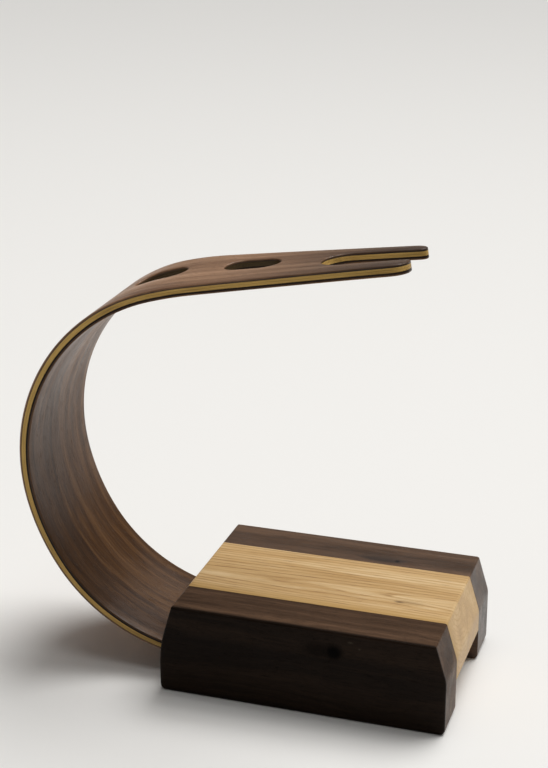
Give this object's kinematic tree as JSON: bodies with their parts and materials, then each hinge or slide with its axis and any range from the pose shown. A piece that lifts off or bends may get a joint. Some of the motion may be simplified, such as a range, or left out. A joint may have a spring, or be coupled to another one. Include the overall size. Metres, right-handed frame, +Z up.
{
  "type": "razor stand",
  "caption": "Wooden wet-shaving stand: a strip-glued block carries a C-shaped bent-ply arm, slotted for razors, with a fork that hangs a brush.",
  "frame": {"origin": "on the table, below the middle of the stand's bounding box", "axes": "+Z up from the table, +X from the bend of the arm towards the fork, -Y to the front"},
  "size_m": [0.1576, 0.0712, 0.157],
  "materials": {
    "base_walnut": "satin oiled dark walnut",
    "base_oak": "satin oiled golden oak",
    "arm_walnut": "satin oiled walnut veneer",
    "arm_core": "oiled pale veneer, seen on edge",
    "screw_steel": "bright zinc-plated steel"
  },
  "bodies": {
    "root": {"base_front_strip": "base_walnut", "base_centre_strip": "base_oak", "base_back_strip": "base_walnut", "arm_outer_veneer": "arm_walnut", "arm_core_ply_outer": "arm_core", "arm_core_ply_inner": "arm_core", "arm_backing_ply": "arm_walnut", "arm_inner_veneer": "arm_walnut", "arm_screw_1": "screw_steel", "arm_screw_2": "screw_steel", "arm_screw_3": "screw_steel", "arm_screw_4": "screw_steel"}
  },
  "joints": []
}
